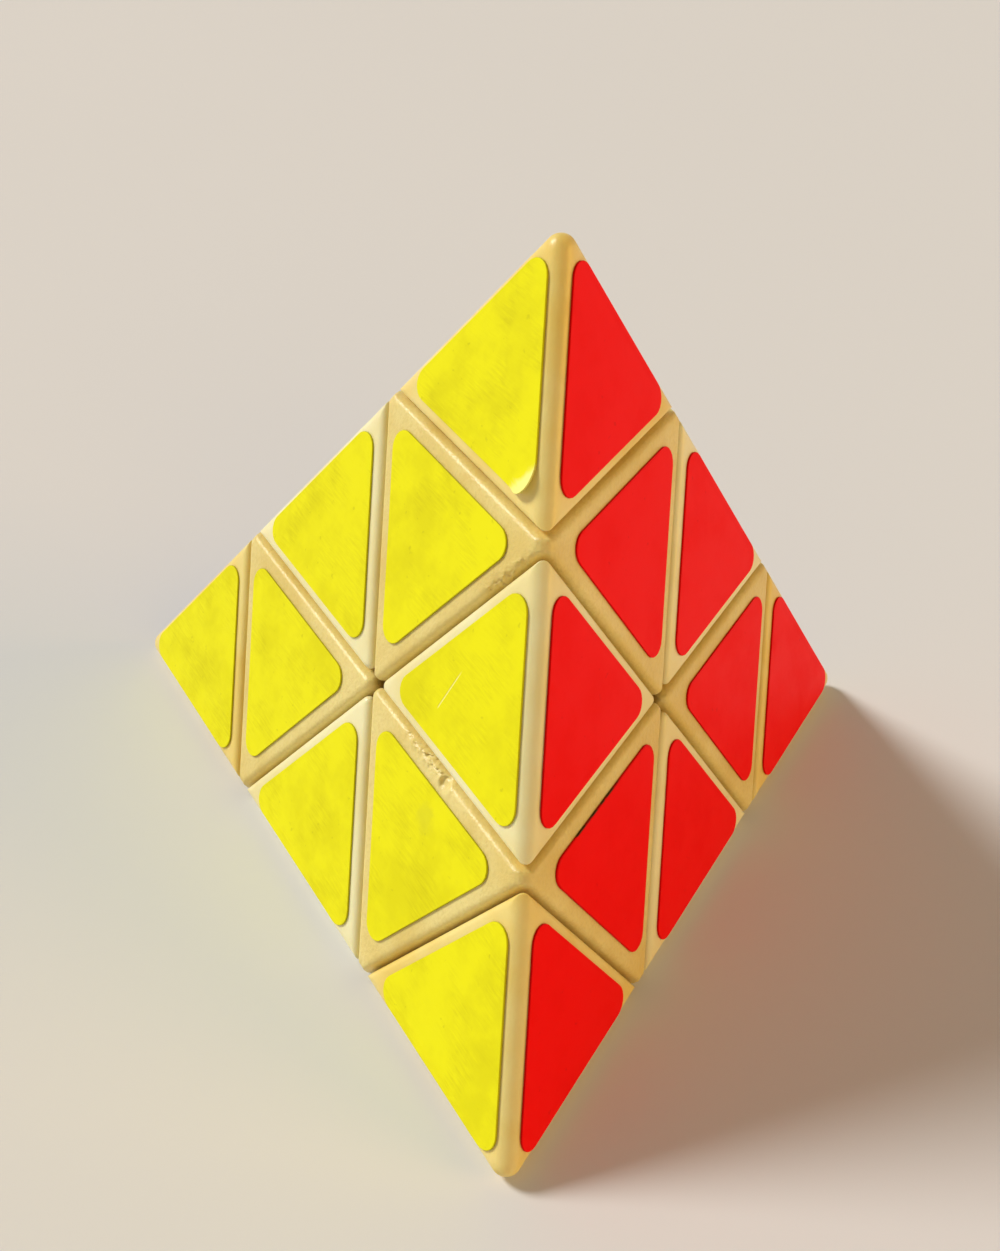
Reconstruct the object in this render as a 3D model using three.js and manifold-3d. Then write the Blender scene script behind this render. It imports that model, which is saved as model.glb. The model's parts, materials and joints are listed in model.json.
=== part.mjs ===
// A pyramid twisty puzzle: four tips, four axial pieces and six edge pieces that turn about a sprung core,
// with nine thin stickers on each of the four faces. Millimetres, +Z up, origin at the centre of the core.
import * as THREE from "three";
import { ConvexGeometry } from "three/addons/geometries/ConvexGeometry.js";
import { mergeVertices } from "three/addons/utils/BufferGeometryUtils.js";
import Module from "manifold-3d";

const wasm = await Module();
wasm.setup();

// Driving dimensions of the outside.
const EDGE_LENGTH = 98; // edge of the tetrahedron before its edges are rounded
const SEAM_GAP = 0.4; // between two neighbouring pieces
const OUTER_RADIUS = 1.6; // rounding of the tetrahedron's own edges
const SEAM_RADIUS = 0.8; // rounding of each piece along its seams
const STICKER_INSET = 1.95; // from a seam to the sticker's side
const STICKER_CORNER_RADIUS = 1.9;
const STICKER_THICKNESS = 0.2;
const STICKER_LIFT = 0.05; // adhesive between a face and its sticker

// Driving dimensions of the shells.
const WALL = 2.2; // of the tips and axial pieces
const PLATE = 2.4; // of an axial piece's top, which a tip's post goes through
const CAVITY_RADIUS = 0.4; // rounding inside a shell
const RUNNING_GAP = 0.3; // between a round piece and the hole that it turns in

// Driving dimensions of the mechanism.
const FOOT_BITE = 1.4; // how far an edge piece and its foot overlap
const FOOT_THICKNESS = 4.8;
const FOOT_CONE_DEG = 72; // half angle of the cone of feet that turn together
const DOME_CLEARANCE = 0.6; // from the feet to the domes of the axial pieces
const CORE_CLEARANCE = 0.5; // from the feet to the core
const ARM_RADIUS = 2.4; // of the core's four arms
const ARM_STAND = 0.9; // how far an arm comes through an axial piece's floor
const STEM_WALL = 1.9; // of the sleeve that turns on an arm
const STEM_LIFT = 0.7; // from the core to a sleeve's end
const STEM_ROOT = 1.2; // how deep a sleeve is joined into the dome above it
const POST_RADIUS = 4.2; // of the post that carries a tip
const POST_BORE = 2.6;
const POST_REACH = 2.2; // how far a post comes through its plate
const BEAD_HEIGHT = 0.9; // how far the snap bead stands out from a post
const BEAD_LENGTH = 0.8;
const SLOT_WIDTH = 0.8; // between the fingers of a post
const SLOT_ROOT = 0.8; // from the slots to the tip's base
const SCREW_RADIUS = 1.35;
const SCREW_HEAD_OVERHANG = 0.25; // of a screw head beyond its spring
const SCREW_HEAD_HEIGHT = 2.2;
const SCREW_HEAD_DROP = 1; // from a post's end to the screw head
const SCREW_SPARE = 0.8; // from a screw's end to its pilot hole's end
const RECESS_LENGTH = 4.4; // of the cross recess in a screw head
const RECESS_WIDTH = 0.9;
const RECESS_DEPTH = 1.2;
const PILOT_DEPTH = 8.5; // of the hole in an arm
const SPRING_WIRE_RADIUS = 0.35;
const SPRING_CLEARANCE = 0.55; // from an arm to its spring
const SPRING_TURNS = 5;

// Facets.
const ROUND_SIDES = 24; // of round pieces and domes
const ARC_STEPS = 2; // across a rounded edge
const CORNER_STEPS = 2; // pairs of facets round a sticker's corner
const WIRE_SIDES = 5;
const WIRE_STEPS_PER_TURN = 10;

// The tetrahedron: each axis runs from the core to a vertex, and each face lies opposite a vertex.
const CORNERS = ["top", "front", "right", "left"];
const EDGES = [
  ["top", "front"],
  ["top", "right"],
  ["top", "left"],
  ["front", "right"],
  ["right", "left"],
  ["front", "left"],
];
const FACE_COLOURS = { right: "yellow", left: "red", front: "blue", top: "green" }; // by opposite vertex
const AXIS_ANGLE = Math.acos(-1 / 3); // between any two axes
const VERTEX_DISTANCE = (EDGE_LENGTH * Math.sqrt(6)) / 4;
const FACE_DISTANCE = VERTEX_DISTANCE / 3;
const LAYER_HEIGHT = (VERTEX_DISTANCE + FACE_DISTANCE) / 3;
const TIP_PLANE = VERTEX_DISTANCE - LAYER_HEIGHT; // seam between a tip and its axial piece
const LAYER_PLANE = TIP_PLANE - LAYER_HEIGHT; // seam under a corner's layer
const HALF_GAP = SEAM_GAP / 2;
const UP = new THREE.Vector3(0, 0, 1);
const AXES = {
  top: UP,
  front: lowerAxis(-90),
  right: lowerAxis(30),
  left: lowerAxis(150),
};

// Levels along an axis, from the core outwards.
const EDGE_INNER_DISTANCE = (LAYER_PLANE + HALF_GAP) * Math.sqrt(3); // to an edge piece's inmost edge
const FOOT_OUTER_RADIUS = EDGE_INNER_DISTANCE + FOOT_BITE;
const FOOT_INNER_RADIUS = FOOT_OUTER_RADIUS - FOOT_THICKNESS;
const CORE_RADIUS = FOOT_INNER_RADIUS - CORE_CLEARANCE;
const DOME_RADIUS = FOOT_OUTER_RADIUS + DOME_CLEARANCE;
const FLOOR_RADIUS = DOME_RADIUS + WALL;
const STEM_BORE = ARM_RADIUS + RUNNING_GAP;
const STEM_RADIUS = STEM_BORE + STEM_WALL;
const ARM_END = FLOOR_RADIUS + ARM_STAND;
const SPRING_RADIUS = ARM_RADIUS + SPRING_CLEARANCE + SPRING_WIRE_RADIUS; // to the middle of the wire
const SCREW_HEAD_RADIUS = SPRING_RADIUS + SPRING_WIRE_RADIUS + SCREW_HEAD_OVERHANG;
const PLATE_TOP = TIP_PLANE - HALF_GAP;
const PLATE_UNDERSIDE = PLATE_TOP - PLATE;
const TIP_BASE = TIP_PLANE + HALF_GAP;
const POST_END = PLATE_UNDERSIDE - POST_REACH;
const SCREW_HEAD_TOP = POST_END - SCREW_HEAD_DROP;
const SCREW_HEAD_UNDERSIDE = SCREW_HEAD_TOP - SCREW_HEAD_HEIGHT;
const PILOT_END = ARM_END - PILOT_DEPTH;

function lowerAxis(degrees) {
  const turn = THREE.MathUtils.degToRad(degrees);
  const out = Math.sin(AXIS_ANGLE);
  return new THREE.Vector3(out * Math.cos(turn), out * Math.sin(turn), Math.cos(AXIS_ANGLE));
}

// A closed geometry as a solid that can be joined and cut.
function solidOf(geometry) {
  const bare = geometry.index ? geometry.toNonIndexed() : geometry.clone();
  bare.deleteAttribute("normal");
  bare.deleteAttribute("uv");
  const merged = mergeVertices(bare, 1e-4);
  return new wasm.Manifold(
    new wasm.Mesh({
      numProp: 3,
      vertProperties: merged.attributes.position.array,
      triVerts: new Uint32Array(merged.index.array),
    }),
  );
}

// A solid as a flat-shaded geometry.
function geometryOf(solid) {
  const { vertProperties, triVerts } = solid.getMesh();
  const shared = new THREE.BufferGeometry();
  shared.setAttribute("position", new THREE.BufferAttribute(vertProperties, 3));
  shared.setIndex(new THREE.BufferAttribute(triVerts, 1));
  const flat = shared.toNonIndexed();
  flat.computeVertexNormals();
  return flat;
}

// The turn that takes the first axis to where toFirst is, and the second to where toSecond is.
function turnBetween(first, second, toFirst, toSecond) {
  const frame = (a, b) => {
    const x = AXES[a].clone();
    const z = x.clone().cross(AXES[b]).normalize();
    return new THREE.Matrix4().makeBasis(x, z.clone().cross(x), z);
  };
  const turn = frame(toFirst, toSecond).multiply(frame(first, second).invert());
  return new THREE.Quaternion().setFromRotationMatrix(turn);
}

// The half turn that swaps the top corner with another one.
function cornerTurn(corner) {
  if (corner === "top") return new THREE.Quaternion();
  const middle = UP.clone().add(AXES[corner]).normalize();
  return new THREE.Quaternion().setFromAxisAngle(middle, Math.PI);
}

// A half space, as normal . point <= distance.
const below = (axis, distance) => ({ normal: axis.clone(), distance });
const above = (axis, distance) => ({ normal: axis.clone().negate(), distance: -distance });
const insetBy = (depth) => (plane) => ({ normal: plane.normal, distance: plane.distance - depth });

// The point where three planes meet, or null if two of them are parallel.
function meetingPoint([a, b, c]) {
  const across = b.normal.clone().cross(c.normal);
  const size = a.normal.dot(across);
  if (Math.abs(size) < 1e-6) return null;
  return across
    .multiplyScalar(a.distance)
    .add(c.normal.clone().cross(a.normal).multiplyScalar(b.distance))
    .add(a.normal.clone().cross(b.normal).multiplyScalar(c.distance))
    .divideScalar(size);
}

// The convex solid inside a set of planes, with every edge and corner rounded: the hull of small balls that
// sit in its corners, each ball kept only at the directions between its three planes.
function roundedSolid(planes, radius) {
  const inner = planes.map(insetBy(radius));
  const points = [];
  for (let i = 0; i < inner.length; i++)
    for (let j = i + 1; j < inner.length; j++)
      for (let k = j + 1; k < inner.length; k++) {
        const trio = [inner[i], inner[j], inner[k]];
        const corner = meetingPoint(trio);
        if (!corner) continue;
        if (inner.some((p) => p.normal.dot(corner) > p.distance + 1e-6)) continue;
        for (let a = 0; a <= ARC_STEPS; a++)
          for (let b = 0; b <= ARC_STEPS - a; b++) {
            const shares = [a, b, ARC_STEPS - a - b];
            const direction = new THREE.Vector3();
            trio.forEach((plane, n) => direction.addScaledVector(plane.normal, shares[n]));
            points.push(direction.setLength(radius).add(corner));
          }
      }
  return solidOf(new ConvexGeometry(points));
}

// A solid turned from a profile of [radius, height] points round the Z axis.
function turned(profile, sides = ROUND_SIDES) {
  const points = profile.map(([radius, height]) => new THREE.Vector2(radius, height));
  const lathe = new THREE.LatheGeometry(points, sides);
  return solidOf(lathe.rotateX(Math.PI / 2));
}

const rod = (radius, from, to) =>
  turned([
    [0, from],
    [radius, from],
    [radius, to],
    [0, to],
  ]);

function ball(radius) {
  const arc = Array.from({ length: ROUND_SIDES / 2 + 1 }, (_, i) => {
    const angle = -Math.PI / 2 + (i * Math.PI * 2) / ROUND_SIDES;
    return [Math.max(radius * Math.cos(angle), 0), radius * Math.sin(angle)];
  });
  arc[0][0] = 0;
  arc[arc.length - 1][0] = 0;
  return turned(arc);
}

function block(x, y, from, to) {
  const box = new THREE.BoxGeometry(x, y, to - from);
  return solidOf(box.translate(0, 0, (from + to) / 2));
}

// The same solid turned so that what stood on the top axis stands on another one.
function onAxis(solid, corner) {
  const turn = new THREE.Matrix4().makeRotationFromQuaternion(cornerTurn(corner));
  return solid.transform(turn.toArray());
}

const outerPlanes = CORNERS.map((corner) => above(AXES[corner], -FACE_DISTANCE));
const outside = roundedSolid(outerPlanes, OUTER_RADIUS);
const sideCorners = CORNERS.filter((corner) => corner !== "top");
const sideFaces = sideCorners.map((corner) => above(AXES[corner], -FACE_DISTANCE));

// A tip: a hollow pyramid with a split post that snaps into the plate of its axial piece.
function makeTip() {
  const shell = roundedSolid([...sideFaces, above(UP, TIP_BASE)], SEAM_RADIUS).intersect(outside);
  const hollow = [...sideFaces, above(UP, TIP_BASE)].map(insetBy(WALL));
  const post = turned([
    [0, POST_END],
    [POST_RADIUS, POST_END],
    [POST_RADIUS + BEAD_HEIGHT, PLATE_UNDERSIDE - RUNNING_GAP - BEAD_LENGTH],
    [POST_RADIUS + BEAD_HEIGHT, PLATE_UNDERSIDE - RUNNING_GAP],
    [POST_RADIUS, PLATE_UNDERSIDE - RUNNING_GAP],
    [POST_RADIUS, TIP_BASE + WALL / 2],
    [0, TIP_BASE + WALL / 2],
  ]);
  const slotLength = 2 * (POST_RADIUS + BEAD_HEIGHT + 1);
  const slotEnd = TIP_BASE - SLOT_ROOT;
  return shell
    .subtract(roundedSolid(hollow, CAVITY_RADIUS))
    .add(post)
    .subtract(rod(POST_BORE, POST_END - 1, TIP_BASE + WALL + 1))
    .subtract(block(slotLength, SLOT_WIDTH, POST_END - 1, slotEnd))
    .subtract(block(SLOT_WIDTH, slotLength, POST_END - 1, slotEnd));
}

// An axial piece: a hollow shell with a plate for the tip's post, a dome over the feet, and a sleeve that
// turns on the core's arm.
function makeAxial() {
  const inward = sideCorners.map((corner) => below(AXES[corner], LAYER_PLANE - HALF_GAP));
  const floor = above(UP, LAYER_PLANE + HALF_GAP);
  const shell = roundedSolid([...sideFaces, ...inward, floor, below(UP, PLATE_TOP)], SEAM_RADIUS);
  const hollow = [...sideFaces, ...inward, floor].map(insetBy(WALL));
  const cavity = roundedSolid([...hollow, below(UP, PLATE_UNDERSIDE)], CAVITY_RADIUS);
  return shell
    .intersect(outside)
    .subtract(ball(DOME_RADIUS))
    .subtract(cavity.subtract(ball(FLOOR_RADIUS)))
    .subtract(rod(POST_RADIUS + SEAM_GAP, PLATE_UNDERSIDE - 1, PLATE_TOP + 1))
    .add(rod(STEM_RADIUS, CORE_RADIUS + STEM_LIFT, DOME_RADIUS + STEM_ROOT))
    .subtract(rod(STEM_BORE, CORE_RADIUS, FLOOR_RADIUS + 1));
}

// A cone round an axis from the core outwards, moved along the axis so that its side is offset.
function footCone(corner, offset) {
  const angle = THREE.MathUtils.degToRad(FOOT_CONE_DEG);
  const apex = -offset / Math.sin(angle);
  const height = 2 * FOOT_OUTER_RADIUS;
  const cone = turned([
    [0, apex],
    [height * Math.tan(angle), apex + height],
    [0, apex + height],
  ]);
  return onAxis(cone, corner);
}

// An edge piece: a solid wedge with a curved foot that reaches under both neighbouring axial pieces.
function makeEdge() {
  const owners = ["top", "front"];
  const others = ["right", "left"];
  const seams = owners.map((corner) => above(AXES[corner], LAYER_PLANE + HALF_GAP));
  const faces = others.map((corner) => above(AXES[corner], -FACE_DISTANCE));
  const wedge = roundedSolid([...seams, ...faces], SEAM_RADIUS).intersect(outside);
  let foot = ball(FOOT_OUTER_RADIUS).subtract(ball(FOOT_INNER_RADIUS));
  const sleeve = rod(STEM_RADIUS + RUNNING_GAP, 0, 2 * FOOT_OUTER_RADIUS);
  for (const corner of owners)
    foot = foot.intersect(footCone(corner, -HALF_GAP)).subtract(onAxis(sleeve, corner));
  for (const corner of others) foot = foot.subtract(footCone(corner, HALF_GAP));
  return wedge.add(foot);
}

// The core: a ball with four drilled arms.
function makeCore() {
  const arm = rod(ARM_RADIUS, 0, ARM_END);
  const pilot = rod(SCREW_RADIUS + RUNNING_GAP, PILOT_END, ARM_END + 1);
  let core = ball(CORE_RADIUS);
  for (const corner of CORNERS) core = core.add(onAxis(arm, corner));
  for (const corner of CORNERS) core = core.subtract(onAxis(pilot, corner));
  return core;
}

// A pan-head screw with a cross recess.
function makeScrew() {
  const screw = turned([
    [0, PILOT_END + SCREW_SPARE],
    [SCREW_RADIUS, PILOT_END + SCREW_SPARE + SCREW_RADIUS],
    [SCREW_RADIUS, SCREW_HEAD_UNDERSIDE],
    [SCREW_HEAD_RADIUS, SCREW_HEAD_UNDERSIDE],
    [SCREW_HEAD_RADIUS, SCREW_HEAD_TOP - SCREW_HEAD_HEIGHT / 2],
    [SCREW_HEAD_RADIUS * 0.7, SCREW_HEAD_TOP],
    [0, SCREW_HEAD_TOP],
  ]);
  const recessFrom = SCREW_HEAD_TOP - RECESS_DEPTH;
  return screw
    .subtract(block(RECESS_LENGTH, RECESS_WIDTH, recessFrom, SCREW_HEAD_TOP + 1))
    .subtract(block(RECESS_WIDTH, RECESS_LENGTH, recessFrom, SCREW_HEAD_TOP + 1));
}

class Helix extends THREE.Curve {
  constructor(radius, from, to, turns) {
    super();
    Object.assign(this, { radius, from, to, turns });
  }
  getPoint(t, target = new THREE.Vector3()) {
    const angle = t * this.turns * Math.PI * 2;
    const height = THREE.MathUtils.lerp(this.from, this.to, t);
    return target.set(this.radius * Math.cos(angle), this.radius * Math.sin(angle), height);
  }
}

// A compression spring between an axial piece's floor and the screw head.
function makeSpring() {
  const standOff = SPRING_WIRE_RADIUS + RUNNING_GAP;
  const inmost = SPRING_RADIUS - SPRING_WIRE_RADIUS;
  const floorLevel = Math.sqrt(FLOOR_RADIUS ** 2 - inmost ** 2);
  const path = new Helix(SPRING_RADIUS, floorLevel + standOff, SCREW_HEAD_UNDERSIDE - standOff, SPRING_TURNS);
  const section = new THREE.Shape();
  for (let i = 0; i < WIRE_SIDES; i++) {
    const angle = (i * Math.PI * 2) / WIRE_SIDES;
    const [x, y] = [SPRING_WIRE_RADIUS * Math.cos(angle), SPRING_WIRE_RADIUS * Math.sin(angle)];
    if (i) section.lineTo(x, y);
    else section.moveTo(x, y);
  }
  const steps = SPRING_TURNS * WIRE_STEPS_PER_TURN;
  return solidOf(new THREE.ExtrudeGeometry(section, { extrudePath: path, steps }));
}

// A sticker: a triangle with round corners, its middle at the origin and one corner towards +Y.
function makeSticker() {
  const facetInradius = EDGE_LENGTH / 3 / (2 * Math.sqrt(3));
  const centreDistance = 2 * (facetInradius - STICKER_INSET - STICKER_CORNER_RADIUS);
  const outline = new THREE.Shape();
  for (let i = 0; i < 3; i++) {
    const turn = Math.PI / 2 + (i * Math.PI * 2) / 3;
    const [x, y] = [centreDistance * Math.cos(turn), centreDistance * Math.sin(turn)];
    outline.absarc(x, y, STICKER_CORNER_RADIUS, turn - Math.PI / 3, turn + Math.PI / 3);
  }
  outline.closePath();
  const options = { depth: STICKER_THICKNESS, bevelEnabled: false, curveSegments: CORNER_STEPS };
  return solidOf(new THREE.ExtrudeGeometry(outline, options));
}

const finish = (color, roughness, metalness = 0) =>
  new THREE.MeshStandardMaterial({ color, roughness, metalness });

const MATERIALS = {
  tip: finish(0xe3cd8a, 0.45),
  axial: finish(0xd3b378, 0.5),
  edge: finish(0xe8dcb4, 0.4),
  core: finish(0xe9e2cf, 0.5),
  screw: finish(0xb9bbbd, 0.35, 1),
  spring: finish(0xc6c8ca, 0.3, 1),
  yellow: finish(0xf2e600, 0.35),
  red: finish(0xf20a05, 0.4),
  blue: finish(0x0b4fc4, 0.4),
  green: finish(0x0a9a48, 0.4),
};

function mesh(name, geometry, kind) {
  const made = new THREE.Mesh(geometry, MATERIALS[kind]);
  made.name = name;
  return made;
}

const puzzle = new THREE.Group();
puzzle.add(mesh("core", geometryOf(makeCore()), "core"));

const cornerShapes = { tip: makeTip(), axial: makeAxial(), screw: makeScrew(), spring: makeSpring() };
for (const corner of CORNERS) {
  const stack = new THREE.Group();
  stack.quaternion.copy(cornerTurn(corner));
  for (const [kind, solid] of Object.entries(cornerShapes))
    stack.add(mesh(`${kind}_${corner}`, geometryOf(solid), kind));
  puzzle.add(stack);
}

const edgeSolid = makeEdge();
for (const [first, second] of EDGES) {
  const edge = mesh(`edge_${first}_${second}`, geometryOf(edgeSolid), "edge");
  edge.quaternion.copy(turnBetween("top", "front", first, second));
  puzzle.add(edge);
}

// One face's stickers, in a group whose origin is the face's middle and whose +Z points out of the face.
const stickerSolid = makeSticker();
function makeFace(opposite, colour) {
  const outward = AXES[opposite].clone().negate();
  const middle = outward.clone().multiplyScalar(FACE_DISTANCE);
  const corners = CORNERS.filter((corner) => corner !== opposite);
  const vertex = (corner) => AXES[corner].clone().multiplyScalar(VERTEX_DISTANCE).sub(middle);
  const ahead = vertex(corners[0]).normalize();
  const face = new THREE.Group();
  face.position.copy(middle);
  face.quaternion.setFromRotationMatrix(
    new THREE.Matrix4().makeBasis(ahead.clone().cross(outward), ahead, outward),
  );
  const intoFace = face.quaternion.clone().invert();
  const stick = (piece, offset, halfTurn) => {
    const sticker = mesh(`sticker_${colour}_${piece}`, geometryOf(stickerSolid), colour);
    sticker.position.copy(offset.applyQuaternion(intoFace)).setZ(STICKER_LIFT);
    sticker.rotation.z = halfTurn ? Math.PI : 0;
    face.add(sticker);
  };
  for (const corner of corners) {
    stick(`tip_${corner}`, vertex(corner).multiplyScalar(2 / 3), false);
    stick(`axial_${corner}`, vertex(corner).multiplyScalar(1 / 3), true);
  }
  for (const [first, second] of EDGES)
    if (first !== opposite && second !== opposite) {
      const across = corners.find((corner) => corner !== first && corner !== second);
      stick(`edge_${first}_${second}`, vertex(across).multiplyScalar(-1 / 3), false);
    }
  return face;
}
for (const [opposite, colour] of Object.entries(FACE_COLOURS)) puzzle.add(makeFace(opposite, colour));

export default puzzle;
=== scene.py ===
"""Looks of a pyramid twisty puzzle: yellowed white plastic shells, a sprung core and thin vinyl stickers.

Shapes are worked out in millimetres in the frame's own axes, and become metres when a mesh is made.
"""

import json
import math

import bmesh
import bpy
import numpy as np
from mathutils import Euler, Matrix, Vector


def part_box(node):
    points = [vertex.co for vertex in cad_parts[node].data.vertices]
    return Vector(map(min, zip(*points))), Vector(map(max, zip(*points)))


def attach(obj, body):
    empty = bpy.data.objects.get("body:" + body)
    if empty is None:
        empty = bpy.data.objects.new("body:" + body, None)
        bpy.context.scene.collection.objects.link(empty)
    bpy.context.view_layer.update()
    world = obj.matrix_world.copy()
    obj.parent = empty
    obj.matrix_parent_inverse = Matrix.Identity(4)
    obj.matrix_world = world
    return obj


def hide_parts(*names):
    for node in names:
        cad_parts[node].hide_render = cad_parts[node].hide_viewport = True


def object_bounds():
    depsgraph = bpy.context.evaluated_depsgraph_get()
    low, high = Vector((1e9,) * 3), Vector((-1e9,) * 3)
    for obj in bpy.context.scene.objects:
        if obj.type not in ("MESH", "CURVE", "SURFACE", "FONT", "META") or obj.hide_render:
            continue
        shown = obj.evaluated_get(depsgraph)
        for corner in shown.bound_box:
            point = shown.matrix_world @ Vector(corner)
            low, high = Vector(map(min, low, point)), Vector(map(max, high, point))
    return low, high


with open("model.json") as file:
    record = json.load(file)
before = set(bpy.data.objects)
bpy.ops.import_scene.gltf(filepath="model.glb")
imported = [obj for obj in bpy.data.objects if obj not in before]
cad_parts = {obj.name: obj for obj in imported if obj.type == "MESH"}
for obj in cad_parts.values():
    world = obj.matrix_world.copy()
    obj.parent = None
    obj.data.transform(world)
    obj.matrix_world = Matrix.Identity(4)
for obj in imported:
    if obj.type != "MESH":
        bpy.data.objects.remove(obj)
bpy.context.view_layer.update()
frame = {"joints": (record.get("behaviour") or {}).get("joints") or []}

# ------------------------------------------------------------------ sizes

MM = 0.001
CORNERS = ("top", "front", "right", "left")
EDGES = (
    ("top", "front"),
    ("top", "right"),
    ("top", "left"),
    ("front", "right"),
    ("right", "left"),
    ("front", "left"),
)
FACE_COLOURS = {"right": "yellow", "left": "red", "front": "blue", "top": "green"}  # by opposite corner
AXES = {
    joint["child"].split("_")[1]: np.array(joint["axis"])
    for joint in frame["joints"]
    if joint["name"].startswith("turn_")
}
UP = AXES["top"]

STICKER_LIFT = 0.05  # adhesive under a sticker
STICKER_THICKNESS = 0.2
STICKER_INSET = 1.95  # from a seam to a sticker's side
STICKER_CORNER_RADIUS = 1.9
FACE_DISTANCE = -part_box("sticker_green_axial_front")[1].z / MM - STICKER_LIFT
LAYER_HEIGHT = 4 * FACE_DISTANCE / 3
TIP_PLANE = 3 * FACE_DISTANCE - LAYER_HEIGHT
LAYER_PLANE = TIP_PLANE - LAYER_HEIGHT
PLATE_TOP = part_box("axial_top")[1].z / MM
HALF_GAP = TIP_PLANE - PLATE_TOP
TIP_BASE = TIP_PLANE + HALF_GAP
POST_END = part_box("tip_top")[0].z / MM

OUTER_RADIUS = 1.6  # rounding of the pyramid's own edges
SEAM_RADIUS = 0.8  # rounding of each piece along its seams
WALL = 2.2
PLATE = 2.4  # thickness of an axial piece's top
CAVITY_RADIUS = 0.4
RUNNING_GAP = 0.3
DOME_RADIUS = 13.9  # hollow under an axial piece, over the feet
STEM_RADIUS = 4.6
STEM_BORE = 2.7
STEM_END = 8.7
POST_RADIUS = 4.2
POST_BORE = 2.6
POST_FILLET = 0.4  # where a post grows out of its tip
POST_CHAMFER = 0.3  # of a post's free end
BEAD_HEIGHT = 0.9
BEAD_LENGTH = 0.6
SLOT_SHARE = 0.19  # a post is slotted where |sin 2 turn| is under this
SLOT_ROOT = 0.8  # from the slots to the tip's base
SLOT_WALL = 0.15  # left of a post's wall in its slots
PLATE_BORE = POST_RADIUS + 2 * HALF_GAP
FOOT_CONE = math.radians(72)
FOOT_OUTER_RADIUS = 13.3
FOOT_INNER_RADIUS = 8.5
FOOT_RIM = 0.5  # rounding of a foot's rim
CORE_RADIUS = 8.0
ARM_RADIUS = 2.4
ARM_END = 17.0
PILOT_DEPTH = 8.5  # of the hole in an arm
PILOT_CLEARANCE = 0.3
SCREW_RADIUS = 1.35
SHANK_DEPTH = 7.7  # from an arm's end to its screw's end
THREAD_PITCH = 1.1
THREAD_DEPTH = 0.22
HEAD_RADIUS = 3.9
HEAD_HEIGHT = 2.2
HEAD_DROP = 1  # from a post's end to the screw head
RECESS_DEPTH = 1.2
SPRING_RADIUS = 3.3
WIRE_RADIUS = 0.35
SPRING_TURNS = 5
WASHER_THICKNESS = 0.25
LAYER_HEIGHT_ON_FACE = LAYER_HEIGHT * 3 / (2 * math.sqrt(2))
HEAD_TOP = POST_END - HEAD_DROP
HEAD_UNDERSIDE = HEAD_TOP - HEAD_HEIGHT

# grid density
EDGE_COLUMNS = 72  # along a long side of a face
FINE_COLUMNS = 144  # where a ridge is chewed
ROWS = 18  # from a face's middle to its border
ROW_POWER = 2.2  # crowds the rows towards the border
CAVITY_ROWS = 3
SHORT_SIDE_COLUMNS = 2
BALL_SIDES = 96
ARM_SIDES = 48
SCREW_SIDES = 72
WASHER_SIDES = 64
THREAD_ROWS = 150
WIRE_SIDES = 14
STEPS_PER_COIL = 40
WELD_GAP = 1e-6  # metres


# ------------------------------------------------------------------ vectors

def unit(vectors):
    """Vectors divided by their length; a zero vector stays zero."""
    length = np.linalg.norm(vectors, axis=-1, keepdims=True)
    return vectors / np.maximum(length, 1e-12)


def smooth(values, low, high):
    """0 below low and 1 above high, with the cubic 3t^2 - 2t^3 between."""
    t = np.clip((values - low) / (high - low), 0, 1)
    return t * t * (3 - 2 * t)


def half_turn(corner):
    """The half turn that swaps the top corner with another: 2 m m^T - 1 about the middle direction m."""
    if corner == "top":
        return np.eye(3)
    middle = unit(UP + AXES[corner])
    return 2 * np.outer(middle, middle) - np.eye(3)


def edge_turn(first, second):
    """The turn from the top and front axes to two others, from the two frames' basis vectors."""

    def basis(a, b):
        side = unit(np.cross(AXES[a], AXES[b]))
        return np.stack([AXES[a], np.cross(side, AXES[a]), side], axis=1)

    return basis(first, second) @ basis("top", "front").T


def bumps(points, size, seed):
    """Smooth noise of about -1 to 1: a product of two sums of plane waves of about the given size."""
    draw = np.random.default_rng(seed)
    total = np.ones(points.shape[:-1])
    for _ in range(2):
        waves = draw.normal(size=(5, 3)) * 2 * math.pi / size / 1.7
        phases = draw.uniform(0, 2 * math.pi, 5)
        total = total * np.sin(points @ waves.T + phases).sum(-1) / 2.2
    return np.clip(total, -1.6, 1.6)


# ------------------------------------------------------------------ faces of convex pieces

def below(axis, distance):
    return np.append(axis, distance)


def above(axis, distance):
    return np.append(-axis, -distance)


def moved_in(planes, depth):
    """Half spaces (normal, distance) moved inwards by depth."""
    moved = np.array(planes, float)
    moved[:, 3] -= depth
    return moved


def face_corners(planes, face):
    """The corners of one face of the solid inside the planes, in order round its normal."""
    normals, distances = planes[:, :3], planes[:, 3]
    found = []
    for j in range(len(planes)):
        for k in range(j + 1, len(planes)):
            trio = [face, j, k]
            if face in (j, k) or abs(np.linalg.det(normals[trio])) < 1e-6:
                continue
            corner = np.linalg.solve(normals[trio], distances[trio])
            new = all(np.linalg.norm(corner - other) > 1e-4 for other in found)
            if new and (normals @ corner <= distances + 1e-6).all():
                found.append(corner)
    corners = np.array(found)
    middle = corners.mean(0)
    across = unit(corners[0] - middle)
    along = np.cross(normals[face], across)
    turn = np.arctan2((corners - middle) @ along, (corners - middle) @ across)
    return corners[np.argsort(turn)]


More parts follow.
